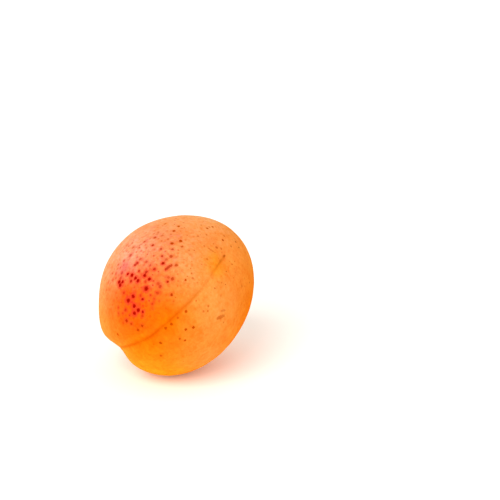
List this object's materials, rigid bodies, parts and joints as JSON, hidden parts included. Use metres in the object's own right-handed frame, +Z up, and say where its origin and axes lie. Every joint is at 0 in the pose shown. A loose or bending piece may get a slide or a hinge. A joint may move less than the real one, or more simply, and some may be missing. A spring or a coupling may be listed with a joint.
{
  "type": "apricot",
  "caption": "Whole ripe apricot lying on its side, with a suture groove, a sunken stem cavity, an apex scar and a small flat resting spot.",
  "frame": {"origin": "centre of the flat spot that the fruit rests on", "axes": "+Z up, square to the resting spot; the apex points up towards +X and a little towards -Y, and the suture faces -Y"},
  "size_m": [0.0492, 0.0523, 0.0489],
  "materials": {
    "skin": "downy, satin-matt orange skin with a red-freckled blush on its fuller cheek"
  },
  "bodies": {
    "root": {"apricot": "skin"}
  },
  "joints": []
}
